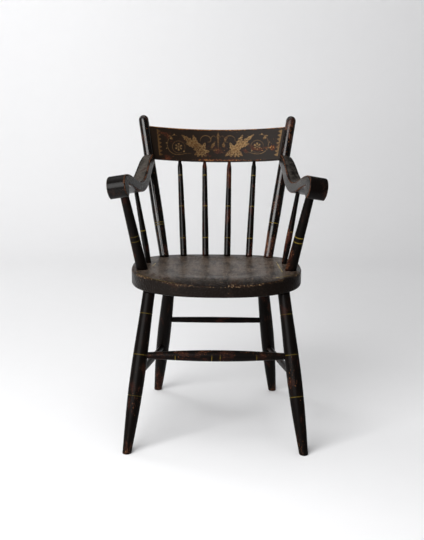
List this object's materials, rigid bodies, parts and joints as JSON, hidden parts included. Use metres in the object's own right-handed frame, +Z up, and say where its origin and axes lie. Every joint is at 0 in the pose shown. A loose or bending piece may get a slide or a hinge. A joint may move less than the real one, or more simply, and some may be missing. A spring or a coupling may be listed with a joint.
{
  "type": "armchair",
  "caption": "Painted rod-back wooden armchair with a plank seat, splayed turned legs, a bowed crest board, scrolled arms and a stencilled ornament.",
  "frame": {"origin": "on the floor, under the middle of the chair's box", "axes": "+Z up, -Y towards the sitter's front, +X to the right as the chair is seen from the front; the two sides mirror each other in X"},
  "size_m": [0.5702, 0.5657, 0.8342],
  "materials": {
    "turned_paint": "old near-black paint, satin, worn to orange-brown wood on the edges",
    "seat_paint": "old dark brown paint, satin, worn grey-brown on the top",
    "crest_paint": "old near-black paint, satin, with a bronze stencilled ornament on the front",
    "arm_paint": "old near-black paint, glossier where hands rub it, orange-brown on the edges"
  },
  "bodies": {
    "root": {"seat": "seat_paint", "leg_front_left": "turned_paint", "leg_front_right": "turned_paint", "leg_rear_left": "turned_paint", "leg_rear_right": "turned_paint", "stretcher_front": "turned_paint", "stretcher_rear": "turned_paint", "stretcher_left": "turned_paint", "stretcher_right": "turned_paint", "back_post_left": "turned_paint", "back_post_right": "turned_paint", "crest_rail": "crest_paint", "back_spindle_1": "turned_paint", "back_spindle_2": "turned_paint", "back_spindle_3": "turned_paint", "back_spindle_4": "turned_paint", "arm_left": "arm_paint", "arm_right": "arm_paint", "arm_post_left": "turned_paint", "arm_post_right": "turned_paint", "arm_spindle_left": "turned_paint", "arm_spindle_right": "turned_paint"}
  },
  "joints": []
}
